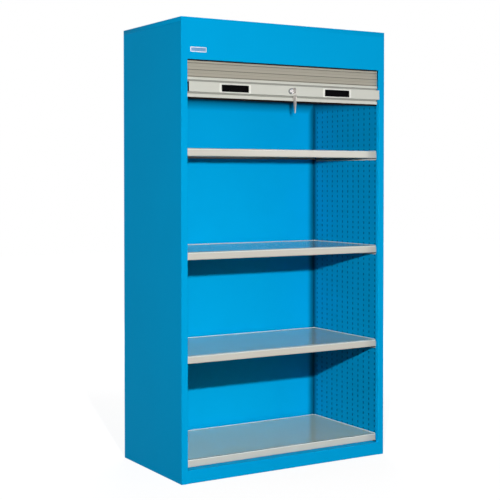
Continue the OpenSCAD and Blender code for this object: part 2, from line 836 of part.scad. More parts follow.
left_side_panel();
right_side_panel();
back_panel();
roof_panel();
front_fascia();
plinth();
left_base_rail();
right_base_rail();
rear_base_rail();
bottom_shelf();
shelf(shelf_z(1));  // shelf_1
shelf(shelf_z(2));  // shelf_2
shelf(shelf_z(3));  // shelf_3
shelf_brackets(1);  // shelf_1_brackets
shelf_brackets(2);  // shelf_2_brackets
shelf_brackets(3);  // shelf_3_brackets
left_perforated_lining();
right_perforated_lining();
left_guide();
right_guide();
fascia_seal();
strike_plates();
stop_blocks();
back_rivets();
label_plate();
left_drum_bracket();
right_drum_bracket();
bracket_screws();
drum_axle();
drum_tube();
drum_bushes();
drum_discs();
torsion_spring();
spring_anchor();
spring_plug();
curtain_hangers();
slats(1);  // slats_1
slats(2);  // slats_2
slats(3);  // slats_3
slats(4);  // slats_4
slats(5);  // slats_5
slats(6);  // slats_6
slats(7);  // slats_7
slats(8);  // slats_8
shutter_bar();
left_bar_cap();
right_bar_cap();
bottom_seal();
grip_frames();
grip_cups();
rod_guides();
lock_housing();
lock_nut();
lock_cylinder();
lock_cam();
lock_key();
key_ring();
hanging_key();
left_lock_rod();
right_lock_rod();
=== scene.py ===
import json
import math

import bmesh
import bpy
from mathutils import Matrix, Vector

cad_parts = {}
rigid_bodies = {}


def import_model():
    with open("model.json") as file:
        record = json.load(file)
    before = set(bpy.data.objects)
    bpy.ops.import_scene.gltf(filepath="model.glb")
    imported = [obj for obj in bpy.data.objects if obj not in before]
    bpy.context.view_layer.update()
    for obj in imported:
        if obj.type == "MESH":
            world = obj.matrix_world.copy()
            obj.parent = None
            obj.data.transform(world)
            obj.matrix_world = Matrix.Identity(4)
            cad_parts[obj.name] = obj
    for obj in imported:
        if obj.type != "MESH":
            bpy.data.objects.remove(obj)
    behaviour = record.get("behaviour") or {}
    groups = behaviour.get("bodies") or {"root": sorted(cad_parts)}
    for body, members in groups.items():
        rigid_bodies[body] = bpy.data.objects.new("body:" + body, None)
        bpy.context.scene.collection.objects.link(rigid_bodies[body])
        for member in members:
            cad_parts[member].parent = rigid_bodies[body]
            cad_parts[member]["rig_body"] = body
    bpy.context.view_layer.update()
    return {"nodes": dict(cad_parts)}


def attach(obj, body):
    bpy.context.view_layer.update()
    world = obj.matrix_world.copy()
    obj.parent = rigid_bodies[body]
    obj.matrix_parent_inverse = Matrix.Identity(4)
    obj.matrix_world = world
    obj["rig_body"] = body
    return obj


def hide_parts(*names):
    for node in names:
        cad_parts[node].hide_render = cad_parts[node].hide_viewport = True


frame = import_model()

MM = 0.001
FRONT = -287.5
BACK = 287.5
FULL_TURN = 2 * math.pi

# A piece's edges stay crisp where they turn by more degrees than this
SHARP = 35.0

# Carcass: SIDE_SKIN_X is the middle of a side's sheet, LINING_X and BACK_Y are the inner faces of
# the linings and the back, and ON_FACE is a margin that takes in a face
CABINET_W = 1085.0
CABINET_D = 575.0
SIDE_SKIN_X = 541.9
LINING_X = 530.0
LINING_S = 41.3
BACK_Y = 285.1
ON_FACE = 0.4

# Shelves, one step apart; the spans are heights above a step
SHELF_STEP = 450.0
BOTTOM_SHELF_Z = 92.0
FIRST_SHELF_Z = 543.0
HUNG_SHELVES = 3
SHELF_X = 527.6
SHELF_FRONT = -244.5
SHELF_BACK = 268.0
SHELF_EDGE = 5.0
SHELF_TOPS = (91.9, 93.1)
SHELF_BENDS = (87.4, 93.1)
SHELF_UNDERS = (90.6, 91.85)
HEM_UNDERS = (55.5, 58.7)

# Painted shade inside the carcass: how far it reaches out of the corners, the heights over which
# the painted shade under the header fades in, and how dark each gets
CORNER_REACH = 42.0
CORNER_SHADE = 0.72
HEADER_SPAN = (1642.0, 1692.0)
HEADER_SHADE = 0.74

# Slats: eight nested sets of eight
SLAT_PITCH = 28.5
SLAT_LIP = 3.0
SLAT_GROOVE = 2.0
SLAT_GAP = 0.4
SLAT_SKIN = 1.1
SLAT_TONGUE = 6.0
SLAT_HALF = 536.0
SLATS_PER_SET = 8
SET_COUNT = 8
SET_STEP = 2.7
CURTAIN_S = 19.0
BAR_TOP = 1746.4

# Bottom bar, grips and lock
BAR_LOW = 1660.9
SEAL_LOW = 1653.4
SEAL_HALF = 506.5
RIM_S = 11.0
GROOVE_S = 15.0
BAND_S = -6.0
AXIS_Z = 1702.8
GRIP_X = (-279.5, 264.5)
GRIP_OPEN = (138.0, 30.5)
GRIP_CORNER = 2.0
LOCK_X = 10.0
KNOB_S = -16.0
KNOB_R = 13.5
CYLINDER_R = 10.0
BOW_R = 13.5
BOW_S = -34.5
BOW_HOLE_R = 4.6
BOW_HOLE_OFFSET = 4.0
BLADE_HALF = 4.0
RING_S = BOW_S - BOW_HOLE_OFFSET
RING_R = 11.0
WIRE_R = 0.9
RING_Z = 1688.4
HANGING_BOW_Z = 1670.0

# Drum
DRUM_S = 128.0
DRUM_Z = 1905.0


# Meshes

def section(mesh, points, place):
    """A face from a few corners of a section; place turns a corner into a point."""
    return mesh.faces.new([mesh.verts.new(place(*p)) for p in points])


def verts_of(made):
    """The vertices among the elements that an operator made."""
    return [g for g in made if isinstance(g, bmesh.types.BMVert)]


def extrude(mesh, faces, by):
    """Extrudes faces and gives back the ones at the far end."""
    made = bmesh.ops.extrude_face_region(mesh, geom=list(faces))["geom"]
    bmesh.ops.translate(mesh, verts=verts_of(made), vec=by)
    return [g for g in made if isinstance(g, bmesh.types.BMFace)]


def ease(mesh, edges, radius, segments=2):
    """Rounds edges."""
    return bmesh.ops.bevel(mesh, geom=list(edges), offset=radius, offset_type="OFFSET",
                           segments=segments, profile=0.5, affect="EDGES", clamp_overlap=True,
                           material=-1)


def edges_along(mesh, axis):
    """The straight edges that run along one axis, 0 to 2."""
    return [e for e in mesh.edges
            if abs((e.verts[0].co - e.verts[1].co).normalized()[axis]) > 0.999]


def rounded_face(mesh, width, height, radius, place):
    """A rectangle with rounded corners as one face, centred on the origin of place."""
    w, h = width / 2, height / 2
    before = set(mesh.faces)
    face = section(mesh, [(-w, -h), (w, -h), (w, h), (-w, h)], place)
    bmesh.ops.bevel(mesh, geom=list(face.verts), offset=radius, offset_type="OFFSET", segments=4,
                    profile=0.5, affect="VERTICES", clamp_overlap=True, material=-1)
    return next(f for f in mesh.faces if f not in before)


def turned(mesh, profile, centre, along, out, steps=48):
    """A solid of revolution: profile is a closed outline of radius and distance along the axis."""
    along, out = Vector(along), Vector(out)
    corners = [mesh.verts.new(Vector(centre) + out * r + along * a) for r, a in profile]
    ring = [mesh.edges.new((corners[i - 1], corners[i])) for i in range(len(corners))]
    bmesh.ops.spin(mesh, geom=corners + ring, cent=centre, axis=along, angle=FULL_TURN, steps=steps,
                   use_merge=True, use_duplicate=False)
    bmesh.ops.remove_doubles(mesh, verts=mesh.verts, dist=0.01)
    bmesh.ops.dissolve_degenerate(mesh, edges=mesh.edges, dist=0.001)


def coil(mesh, centre, axis, out, radius, wire, turns, pitch, steps, sides):
    """A round wire wound about an axis, closed at both ends."""
    centre, axis, out = Vector(centre), Vector(axis), Vector(out)
    across = Matrix((out, axis, out.cross(axis))).transposed().to_4x4()
    place = Matrix.Translation(centre + out * radius) @ across
    start = bmesh.ops.create_circle(mesh, segments=sides, radius=wire, cap_ends=True, matrix=place)
    faces = list({f for v in start["verts"] for f in v.link_faces})
    count = round(steps * turns)
    bmesh.ops.spin(mesh, geom=faces, cent=centre, axis=axis, dvec=axis * pitch / steps,
                   angle=FULL_TURN * turns, steps=count, use_merge=False, use_duplicate=False)


def copies(mesh, moves):
    """Repeats all of a mesh at each move."""
    first = mesh.verts[:] + mesh.edges[:] + mesh.faces[:]
    for move in moves:
        made = bmesh.ops.duplicate(mesh, geom=first)["geom"]
        bmesh.ops.translate(mesh, verts=verts_of(made), vec=move)


def mark(mesh, amount):
    """Marks the vertices of a mesh with what a function gives for each, 0 to 1."""
    hollow = mesh.verts.layers.float.new("hollow")
    for v in mesh.verts:
        v[hollow] = amount(v)


def piece(name, mesh, slot, part, sharp=SHARP, whole=True):
    """Finishes a mesh as the piece that stands for a part, or as an addition if not whole."""
    bmesh.ops.recalc_face_normals(mesh, faces=mesh.faces)
    bmesh.ops.scale(mesh, vec=(MM, MM, MM), verts=mesh.verts)
    data = bpy.data.meshes.new(name)
    for face in mesh.faces:
        face.smooth = True
    mesh.to_mesh(data)
    mesh.free()
    data.set_sharp_from_angle(angle=math.radians(sharp))
    made = bpy.data.objects.new(name, data)
    bpy.context.scene.collection.objects.link(made)
    data.materials.append(MATERIALS[slot])
    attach(made, frame["nodes"][part]["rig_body"])
    if whole:
        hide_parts(part)
    return made


# Finishes

def linear(colour):
    """An sRGB hex colour as linear red, green, blue and alpha."""
    parts = [int(colour[i:i + 2], 16) / 255 for i in (1, 3, 5)]
    return [p / 12.92 if p <= 0.04045 else ((p + 0.055) / 1.055) ** 2.4 for p in parts] + [1.0]


def node(tree, kind, inputs=None, **settings):
    """Adds a node: settings are its own, inputs are values or the sockets that they come from."""
    made = tree.nodes.new(kind)
    for name, value in settings.items():
        setattr(made, name, value)
    for name, value in (inputs or {}).items():
        socket = made.inputs[name]
        if isinstance(value, bpy.types.NodeSocket):
            tree.links.new(value, socket)
        else:
            socket.default_value = value
    return made


# What finds a place on a piece: each function takes the tree and the Object coordinates, and gives
# a socket that goes up to 1 there and is 0 elsewhere

def marked(tree, where):
    """The mark that a piece carries: painted shade on the slats' groove floors, the label's pale
    blue field.
    """
    return node(tree, "ShaderNodeAttribute", attribute_name="hollow").outputs["Fac"]


def bar_groove_shade(tree, where):
    """Painted shade on the floors of the bar's grooves, by depth, fading out towards the rims."""
    steady = 1
    depth = node(tree, "ShaderNodeSeparateXYZ", {"Vector": where}).outputs["Y"]
    return node(tree, "ShaderNodeMapRange", {
        "Value": depth, "From Min": (FRONT + RIM_S + steady) * MM,
        "From Max": (FRONT + GROOVE_S - steady) * MM}).outputs["Result"]


def within(tree, value, low, high):
    """1 where a length in metres lies between two lengths in millimetres, else 0."""
    middle, half = (low + high) / 2, (high - low) / 2
    return node(tree, "ShaderNodeMath", {0: value, 1: middle * MM, 2: half * MM},
                operation="COMPARE").outputs[0]


def corner_and_header_shade(tree, where):
    """Painted shade: the carcass's upright inner corners and the header, fading out a few
    centimetres away.
    """
    at = node(tree, "ShaderNodeSeparateXYZ", {"Vector": where}).outputs
    side = node(tree, "ShaderNodeMath", {0: at["X"]}, operation="ABSOLUTE")
    reach = node(tree, "ShaderNodeMath", {0: side.outputs[0], 1: at["Y"]}, operation="ADD")
    corner = node(tree, "ShaderNodeMapRange", {
        "Value": reach.outputs[0], "From Min": (LINING_X + BACK_Y - CORNER_REACH) * MM,
        "From Max": (LINING_X + BACK_Y) * MM, "To Max": CORNER_SHADE},
        interpolation_type="SMOOTHSTEP")
    header = node(tree, "ShaderNodeMapRange", {
        "Value": at["Z"], "From Min": HEADER_SPAN[0] * MM, "From Max": HEADER_SPAN[1] * MM,
        "To Max": HEADER_SHADE})
    most = node(tree, "ShaderNodeMath", {0: corner.outputs["Result"], 1: header.outputs["Result"]},
                operation="MAXIMUM")
    inside = within(tree, at["Y"], FRONT, BACK_Y + ON_FACE)
    return node(tree, "ShaderNodeMath", {0: most.outputs[0], 1: inside},
                operation="MULTIPLY").outputs[0]


def double_wall_shade(tree, where):
    """Painted shade: the side panels' inner faces behind the linings, which show through the slots.
    """
    at = node(tree, "ShaderNodeSeparateXYZ", {"Vector": where}).outputs
    side = node(tree, "ShaderNodeMath", {0: at["X"]}, operation="ABSOLUTE")
    inner = within(tree, side.outputs[0], LINING_X, SIDE_SKIN_X)
    behind = within(tree, at["Y"], FRONT + LINING_S, BACK_Y)
    return node(tree, "ShaderNodeMath", {0: inner, 1: behind}, operation="MULTIPLY").outputs[0]


def on_shelves(tree, where, *spans):
    """1 where the height above a shelf's step lies in one of the spans, else 0."""
    height = node(tree, "ShaderNodeSeparateXYZ", {"Vector": where}).outputs["Z"]
    step = node(tree, "ShaderNodeMath", {0: height, 1: SHELF_STEP * MM},
                operation="MODULO").outputs[0]
    found = within(tree, step, *spans[0])
    for span in spans[1:]:
        found = node(tree, "ShaderNodeMath", {0: found, 1: within(tree, step, *span)},
                     operation="MAXIMUM").outputs[0]
    return found


def shelf_top_reflection(tree, where):
    """Painted reflection: the shelves' top faces, tinted greener."""
    return on_shelves(tree, where, SHELF_TOPS)


def shelf_bend_highlight(tree, where):
    """Painted highlight: the bends along the shelves' edges."""
    at = node(tree, "ShaderNodeSeparateXYZ", {"Vector": where}).outputs
    side = node(tree, "ShaderNodeMath", {0: at["X"]}, operation="ABSOLUTE").outputs[0]
    across = within(tree, side, 0, SHELF_X - SHELF_EDGE)
    along = within(tree, at["Y"], SHELF_FRONT + SHELF_EDGE, SHELF_BACK - SHELF_EDGE)
    inner = node(tree, "ShaderNodeMath", {0: across, 1: along}, operation="MULTIPLY").outputs[0]
    outer = node(tree, "ShaderNodeMath", {0: 1.0, 1: inner}, operation="SUBTRACT").outputs[0]
    return node(tree, "ShaderNodeMath", {0: outer, 1: on_shelves(tree, where, SHELF_BENDS)},
                operation="MULTIPLY").outputs[0]


def shelf_under_shade(tree, where):
    """Painted shade: the undersides of the shelves' sheets and hems."""
    return on_shelves(tree, where, SHELF_UNDERS, HEM_UNDERS)


def finish(name, light, dark, patch, grain, relief,
           stretch=(1, 1, 1), rough=None, cells=False, tints=(), **shader):
    """A material whose colour drifts between two tones over patches, under a fine grain.

    patch and grain are the sizes of the patches and the grain, and relief is the grain's depth,
    all in millimetres. stretch draws the patterns out along the axes where it is below 1, and
    rough is the roughness at both tones. cells makes the patches spangles with edges. tints holds
    other colours with what finds them: painted shade, highlight or reflection, or the label's
    field."""
    made = bpy.data.materials.new(name)
    made.use_nodes = True
    tree = made.node_tree
    tree.nodes.clear()
    where = node(tree, "ShaderNodeTexCoord").outputs["Object"]
    drawn = node(tree, "ShaderNodeMapping", {"Vector": where, "Scale": stretch}).outputs["Vector"]
    if cells:
        pattern = node(tree, "ShaderNodeTexVoronoi", {"Vector": drawn, "Scale": 1 / (patch * MM)},
                       feature="F1").outputs["Color"]
        tone = node(tree, "ShaderNodeSeparateColor", {"Color": pattern}).outputs["Red"]
    else:
        tone = node(tree, "ShaderNodeTexNoise", {
            "Vector": drawn, "Scale": 1 / (patch * MM), "Detail": 3.0,
            "Roughness": 0.55}).outputs["Fac"]
    mixed = node(tree, "ShaderNodeMix", {"Factor": tone}, data_type="RGBA")
    mixed.inputs[6].default_value = linear(dark)
    mixed.inputs[7].default_value = linear(light)
    for colour, find in tints:
        tinted = node(tree, "ShaderNodeMix", {"Factor": find(tree, where)}, data_type="RGBA")
        tree.links.new(mixed.outputs[2], tinted.inputs[6])
        tinted.inputs[7].default_value = linear(colour)
        mixed = tinted
    fine = node(tree, "ShaderNodeTexNoise", {
        "Vector": drawn, "Scale": 1 / (grain * MM), "Detail": 2.0, "Roughness": 0.5})
    bump = node(tree, "ShaderNodeBump", {
        "Strength": 1.0, "Distance": relief * MM, "Height": fine.outputs["Fac"]})
    values = {"Base Color": mixed.outputs[2], "Normal": bump.outputs["Normal"]}
    values.update(shader)
    if rough:
        values["Roughness"] = node(tree, "ShaderNodeMapRange", {
            "Value": tone, "To Min": rough[0], "To Max": rough[1]}).outputs["Result"]
    surface = node(tree, "ShaderNodeBsdfPrincipled", values)
    node(tree, "ShaderNodeOutputMaterial", {"Surface": surface.outputs["BSDF"]})
    return made


# The blue powder mirrors next to nothing, so that the white room doesn't wash it out. Its patches
# are wide and faint, and its grain is an orange peel: patch, grain and relief
SATIN_BLUE = {"Roughness": 0.42, "IOR": 1.45, "Specular IOR Level": 0.01}
BLUE_PATTERN = (240, 2.2, 0.012)

MATERIALS = {
    # Polyester powder baked on steel: an even, quiet blue with a faint orange peel of about 2 mm
    "blue_enamel": finish("baked_powder_blue", "#00a7e2", "#00a1dc", *BLUE_PATTERN, **SATIN_BLUE),
    # The same powder inside, a touch darker as painted shade, with painted shade deepening into the
    # corners and under the header
    "blue_enamel_inside": finish(
        "baked_powder_blue_inside", "#00a3dd", "#009dd7", *BLUE_PATTERN,
        tints=[("#00141f", corner_and_header_shade)], **SATIN_BLUE),
    # The same powder on the pierced linings, darker as painted shade for the lesser light there,
    # with the same painted shade in the corners
    "blue_enamel_lining": finish(
        "baked_powder_blue_lining", "#0090c5", "#008abf", *BLUE_PATTERN,
        tints=[("#00141f", corner_and_header_shade)], **SATIN_BLUE),
    # The side panels, darker on the faces inside the double wall: painted shade that shows through
    # the linings' slots
    "blue_enamel_sides": finish(
        "baked_powder_blue_with_slot_shade", "#00a7e2", "#00a1dc", *BLUE_PATTERN,
        tints=[("#00658f", double_wall_shade)], **SATIN_BLUE),
    # The same powder in light grey, with a glossier skin that mirrors the blue at a low angle, and
    # painted light: a greener painted reflection on the tops, a painted highlight on the bends,
    # painted shade below
    "grey_enamel": finish(
        "baked_powder_light_grey", "#ccc9be", "#c6c3b7", 180, 2.2, 0.006,
        tints=[("#c9d3ba", shelf_top_reflection), ("#e2e9e3", shelf_bend_highlight), ("#34393b", shelf_under_shade)],
        **{"Roughness": 0.22, "IOR": 1.5, "Coat Weight": 0.5, "Coat Roughness": 0.12}),
    # Roll-formed aluminium with a baked beige-grey lacquer, streaked lengthwise by the rollers,
    # with painted shade in the grooves
    "slat_aluminium": finish(
        "lacquered_aluminium_strip", "#a9a495", "#9e998b", 26, 1.4, 0.010, stretch=(0.04, 1, 1),
        tints=[("#57544c", marked)],
        **{"Roughness": 0.38, "IOR": 1.5, "Specular IOR Level": 0.4}),
    # Extruded aluminium under a light lacquer, with faint die lines along its length and painted
    # shade in its grooves
    "bar_aluminium": finish(
        "lacquered_aluminium_extrusion", "#cdcec5", "#c7c7bd", 30, 1.6, 0.008, stretch=(0.03, 1, 1),
        tints=[("#8e8f87", bar_groove_shade)],
        **{"Roughness": 0.32, "IOR": 1.5, "Specular IOR Level": 0.5}),
    # Zinc-plated steel: dull blue-grey metal with a soft, cloudy spangle
    "galvanised_steel": finish(
        "zinc_plated_steel", "#c3c7ca", "#aeb2b5", 14, 0.8, 0.006, rough=(0.34, 0.5), cells=True,
        **{"Metallic": 1.0}),
    # Oil-tempered spring wire: dark, slightly brown metal with drawing marks
    "spring_steel": finish(
        "oil_tempered_wire", "#5c5b5a", "#46474a", 9, 0.6, 0.010, rough=(0.28, 0.42),
        **{"Metallic": 1.0}),
    # Moulded EPDM rubber: dull black with a dusty grain
    "black_rubber": finish(
        "moulded_rubber", "#101112", "#0a0b0c", 12, 0.7, 0.030,
        **{"Roughness": 0.78, "IOR": 1.5, "Specular IOR Level": 0.1}),
    # Anodised aluminium plate, left bare: pale silver with a satin grain, and a pale blue field
    "white_plate": finish(
        "satin_anodised_plate", "#f4f5f6", "#eceef0", 20, 0.5, 0.006, stretch=(0.05, 1, 1),
        tints=[("#6c9bc6", marked)],
        **{"Roughness": 0.36, "IOR": 1.5}),
    # Moulded natural nylon: milky, faintly waxy
    "nylon": finish(
        "moulded_nylon", "#efede4", "#e6e3d8", 20, 1.0, 0.012,
        **{"Roughness": 0.46, "IOR": 1.53, "Subsurface Weight": 0.1, "Subsurface Scale": 0.002}),
    # Moulded nylon of the bar's end caps: near black with a fine spark-eroded grain
    "dark_plastic": finish(
        "moulded_end_cap", "#1c1d1f", "#151618", 16, 0.6, 0.020,
        **{"Roughness": 0.55, "IOR": 1.53}),
    # Moulded ABS of the grips' frames, close to the bar's colour and a little glossier
    "grip_plastic": finish(
        "moulded_grip_frame", "#e8e8e0", "#e2e2da", 22, 0.6, 0.010,
        **{"Roughness": 0.3, "IOR": 1.53}),
    # Moulded ABS of the grips' cups: deep black and dull, so that it reads as a clean hole
    "black_plastic": finish(
        "moulded_grip_cup", "#050506", "#020203", 18, 0.8, 0.008,
        **{"Roughness": 0.6, "IOR": 1.5, "Specular IOR Level": 0.03}),
    # Die-cast zinc under satin chrome: grey, with a haze that spreads what it mirrors
    "chrome": finish(
        "satin_chrome", "#9c9ea1", "#8b8d90", 6, 1.2, 0.004, rough=(0.20, 0.30),
        **{"Metallic": 1.0}),
    # Nickel plating on the key in use, polished by hands: warmer than the chrome, and it mirrors
    "nickel_key_polished": finish(
        "polished_nickel_plated_brass", "#bcb5b1", "#a69f9b", 8, 0.7, 0.006, rough=(0.20, 0.34),
        **{"Metallic": 1.0}),
    # A lighter, half-metallic copy of the same plating on the spare key and the ring: painted
    # light, so that they read pale
    "nickel_key": finish(
        "nickel_plated_brass", "#dcd4cf", "#cac2bd", 8, 0.7, 0.006, rough=(0.28, 0.40),
        **{"Metallic": 0.5}),
}

FINISHED_NODES = {
    "blue_enamel": ["front_fascia", "plinth", "left_base_rail", "right_base_rail", "rear_base_rail",
                    "left_guide", "right_guide"],
    "blue_enamel_inside": ["back_panel"],
    "blue_enamel_lining": ["left_perforated_lining", "right_perforated_lining"],
    "blue_enamel_sides": ["left_side_panel", "right_side_panel"],
    "grey_enamel": ["bottom_shelf", "shelf_1", "shelf_2", "shelf_3",
                    "shelf_1_brackets", "shelf_2_brackets", "shelf_3_brackets"],
    "bar_aluminium": ["shutter_bar"],
    "galvanised_steel": ["strike_plates", "left_drum_bracket", "right_drum_bracket", "drum_axle",
                         "drum_tube", "drum_discs", "spring_anchor", "spring_plug",
                         "curtain_hangers", "lock_nut", "lock_cam", "left_lock_rod",
                         "right_lock_rod"],
    "black_rubber": ["stop_blocks", "fascia_seal"],
    "nylon": ["drum_bushes", "rod_guides"],
    "dark_plastic": ["left_bar_cap", "right_bar_cap"],
}
for finish_name, names in FINISHED_NODES.items():
    for name in names:
        panel = frame["nodes"][name]
        panel.data.materials.clear()
        panel.data.materials.append(MATERIALS[finish_name])


# Carcass

def roof_cap():
    """The folded roof, with eased corners and a hemmed rim.

    The rim's lower edge is eased along the sides, so that its seam shows."""
    hem, sheet = 2.4, 1.2
    corner, top_bend, side_bend = 2.7, 1.4, 1.6
    low, high = 1978.0, 2000.0
    mesh = bmesh.new()
    bmesh.ops.create_cube(mesh, size=1.0)
    bmesh.ops.scale(mesh, vec=(CABINET_W, CABINET_D, high - low), verts=mesh.verts)
    bmesh.ops.translate(mesh, verts=mesh.verts, vec=(0, 0, (low + high) / 2))
    ease(mesh, edges_along(mesh, 2), corner, 3)
    top = max(mesh.faces, key=lambda f: f.calc_center_median().z)
    ease(mesh, top.edges, top_bend, 3)
    bottom = min(mesh.faces, key=lambda f: f.calc_center_median().z)
    bmesh.ops.inset_region(mesh, faces=[bottom], thickness=hem)
    outer = [v for v in mesh.verts if v.co.z < low + 0.1 and abs(v.co.x) > SIDE_SKIN_X + 0.1]
    sides = [e for e in edges_along(mesh, 1) if all(v in outer for v in e.verts)]
    ease(mesh, sides, side_bend, 1)
    extrude(mesh, [bottom], (0, 0, high - low - sheet))
    piece("roof_cap", mesh, "blue_enamel", "roof_panel")


def back_rivets():
    """Blind rivets with low domes, nine down each rear flange."""
    mesh = bmesh.new()
    dome = [(0, 0), (4.0, 0), (4.0, 0.35), (3.2, 0.85), (1.9, 1.25), (1.3, 1.35), (1.1, 0.9),
            (0, 0.9)]
    rivet_x, lowest, step, count = 528.5, 75.0, 230.0, 9
    turned(mesh, dome, (-rivet_x, BACK, lowest), (0, 1, 0), (1, 0, 0), 16)
    grid = [(x, 0, step * i) for x in (0, 2 * rivet_x) for i in range(count)]
    copies(mesh, grid[1:])
    piece("blind_rivets", mesh, "galvanised_steel", "back_rivets")


def label_plate():
    """A bare plate with a raised border round a sunk field."""
    width, height, corner, thick = 78.0, 21.5, 2.0, 0.8
    border, slope, sunk = 3.2, 0.4, 0.3
    middle_x, middle_z = -459.5, 1863.05
    mesh = bmesh.new()
    face = rounded_face(mesh, width, height, corner,
                        lambda x, z: (middle_x + x, FRONT, middle_z + z))
    field, = extrude(mesh, [face], (0, -thick, 0))
    bmesh.ops.inset_region(mesh, faces=[field], thickness=border)
    bmesh.ops.inset_region(mesh, faces=[field], thickness=slope)
    bmesh.ops.translate(mesh, verts=field.verts, vec=(0, sunk, 0))
    mark(mesh, lambda v: 1.0 if v in field.verts[:] else 0.0)
    piece("bare_label_plate", mesh, "white_plate", "label_plate", 50)


def shelf_rims():
    """Low upturned edges round the ends and the back of each shelf."""
    rise, wall, start, inset, root, soft = 2.0, 1.1, 3.0, 0.1, 0.4, 0.4
    x, front, back = SHELF_X - inset, SHELF_FRONT + start, SHELF_BACK - inset
    outline = [(-x, front), (-x, back), (x, back), (x, front), (x - wall, front),
               (x - wall, back - wall), (wall - x, back - wall), (wall - x, front)]
    mesh = bmesh.new()
    low = section(mesh, outline, lambda across, along: (across, along, BOTTOM_SHELF_Z - root))
    top, = extrude(mesh, [low], (0, 0, root + rise))
    ease(mesh, top.edges, soft)
    first = FIRST_SHELF_Z - BOTTOM_SHELF_Z
    copies(mesh, [(0, 0, first + SHELF_STEP * i) for i in range(HUNG_SHELVES)])
    piece("shelf_rims", mesh, "grey_enamel", "bottom_shelf", whole=False)


# Shutter

def slat_set(n):
    """Eight slats: each has a groove over its lower lip, a rolled line and a tongue at the back."""
    low, high, top, skin = SLAT_LIP, SLAT_LIP + SLAT_GROOVE, SLAT_PITCH - SLAT_GAP, SLAT_SKIN
    rib = (low + high + SLAT_PITCH) / 2
    deep, line, hint, soft = 0.8, 0.45, 0.12, 0.25
    outline = [(skin, 0), (soft, 0), (0, 0.3), (0, low - 0.6), (hint, low - soft), (deep, low),
               (deep, high), (hint, high + soft), (0, high + 0.7), (0, rib - 1.7),
               (hint, rib - 1.1), (line, rib - 0.5), (line, rib + 0.5), (hint, rib + 1.1),
               (0, rib + 1.7), (0, top - 0.3), (soft, top), (skin, top), (skin, high + 3),
               (2 * skin, high + 3), (2 * skin, -SLAT_TONGUE), (skin, -SLAT_TONGUE)]
    front = FRONT + CURTAIN_S + (n - 1) * SET_STEP
    mesh = bmesh.new()
    end = section(mesh, outline, lambda s, z: (-SLAT_HALF, front + s, BAR_TOP + z))
    extrude(mesh, [end], (2 * SLAT_HALF, 0, 0))
    # The groove floors get full painted shade, the rolled lines a lighter painted shade
    shades = [(deep, 1.0), (line, 0.35)]
    mark(mesh, lambda v: sum(shade for s, shade in shades if abs(v.co.y - front - s) < 0.01))
    copies(mesh, [(0, 0, SLAT_PITCH * i) for i in range(1, SLATS_PER_SET)])
    piece(f"curtain_slats_{n}", mesh, "slat_aluminium", f"slats_{n}", 50)


def bottom_seal():
    """A rubber strip with a rounded foot."""
    front, back, soft = RIM_S + 2, 18.1, 2.0
    outline = [(front, BAR_LOW), (front, SEAL_LOW), (back, SEAL_LOW), (back, BAR_LOW)]
    mesh = bmesh.new()
    end = section(mesh, outline, lambda s, z: (-SEAL_HALF, FRONT + s, z))
    extrude(mesh, [end], (2 * SEAL_HALF, 0, 0))
    ease(mesh, [e for e in edges_along(mesh, 0) if e.verts[0].co.z < SEAL_LOW + 1], soft, 4)
    piece("seal_strip", mesh, "black_rubber", "bottom_seal")


def on_first_grip(x, z):
    """A point on the bar's band, from the middle of the left grip."""
    return GRIP_X[0] + x, FRONT + BAND_S, AXIS_Z + z


def grip_frames():
    """The light rims of the two grips, eased all round."""
    thick, rim_w, rim_h, corner, soft = 2.0, 19.0, 9.0, 3.5, 0.9
    mesh = bmesh.new()
    outer = rounded_face(mesh, GRIP_OPEN[0] + rim_w, GRIP_OPEN[1] + rim_h, corner, on_first_grip)
    inner = rounded_face(mesh, *GRIP_OPEN, GRIP_CORNER, on_first_grip)
    rims = list(outer.edges) + list(inner.edges)
    bmesh.ops.delete(mesh, geom=[outer, inner], context="FACES_ONLY")
    ring = bmesh.ops.bridge_loops(mesh, edges=rims)["faces"]
    front = extrude(mesh, ring, (0, -thick, 0))
    edge = [e for f in front for e in f.edges if len([g for g in e.link_faces if g in front]) == 1]
    ease(mesh, edge, soft, 3)
    copies(mesh, [(GRIP_X[1] - GRIP_X[0], 0, 0)])
    piece("grip_rims", mesh, "grip_plastic", "grip_frames")


def grip_cups():
    """The finger cups: tapered tubs with rounded floors."""
    wall, depth, soft = 1.2, 14.0, 2.5
    taper_x, taper_z = 0.99, 0.95
    mesh = bmesh.new()
    mouth = rounded_face(mesh, *GRIP_OPEN, GRIP_CORNER, on_first_grip)
    floor, = extrude(mesh, [mouth], (0, depth, 0))
    bmesh.ops.delete(mesh, geom=[mouth], context="FACES_ONLY")
    middle = Matrix.Translation((-GRIP_X[0], 0, -AXIS_Z))
    bmesh.ops.scale(mesh, vec=(taper_x, 1, taper_z), verts=floor.verts, space=middle)
    ease(mesh, floor.edges, soft, 3)
    bmesh.ops.recalc_face_normals(mesh, faces=mesh.faces)
    bmesh.ops.solidify(mesh, geom=mesh.faces[:], thickness=wall)
    copies(mesh, [(GRIP_X[1] - GRIP_X[0], 0, 0)])
    piece("grip_tubs", mesh, "black_plastic", "grip_cups")


# Lock and keys

def lock_knob():
    """The chromed housing: a flanged knob with an eased rim, dished round the cylinder."""
    bore, thread, back = CYLINDER_R + 0.05, 12.0, 5.0
    profile = [(bore, KNOB_S + 0.6), (bore + 0.5, KNOB_S), (KNOB_R - 1.6, KNOB_S),
               (KNOB_R - 0.5, KNOB_S + 0.5), (KNOB_R, KNOB_S + 1.6), (KNOB_R, BAND_S - 2.6),
               (KNOB_R - 0.1, BAND_S - 2.2), (KNOB_R, BAND_S - 1.8), (KNOB_R, BAND_S),
               (thread, BAND_S), (thread, back), (bore, back)]
    mesh = bmesh.new()
    turned(mesh, profile, (LOCK_X, FRONT, AXIS_Z), (0, 1, 0), (1, 0, 0))
    piece("lock_knob", mesh, "chrome", "lock_housing")


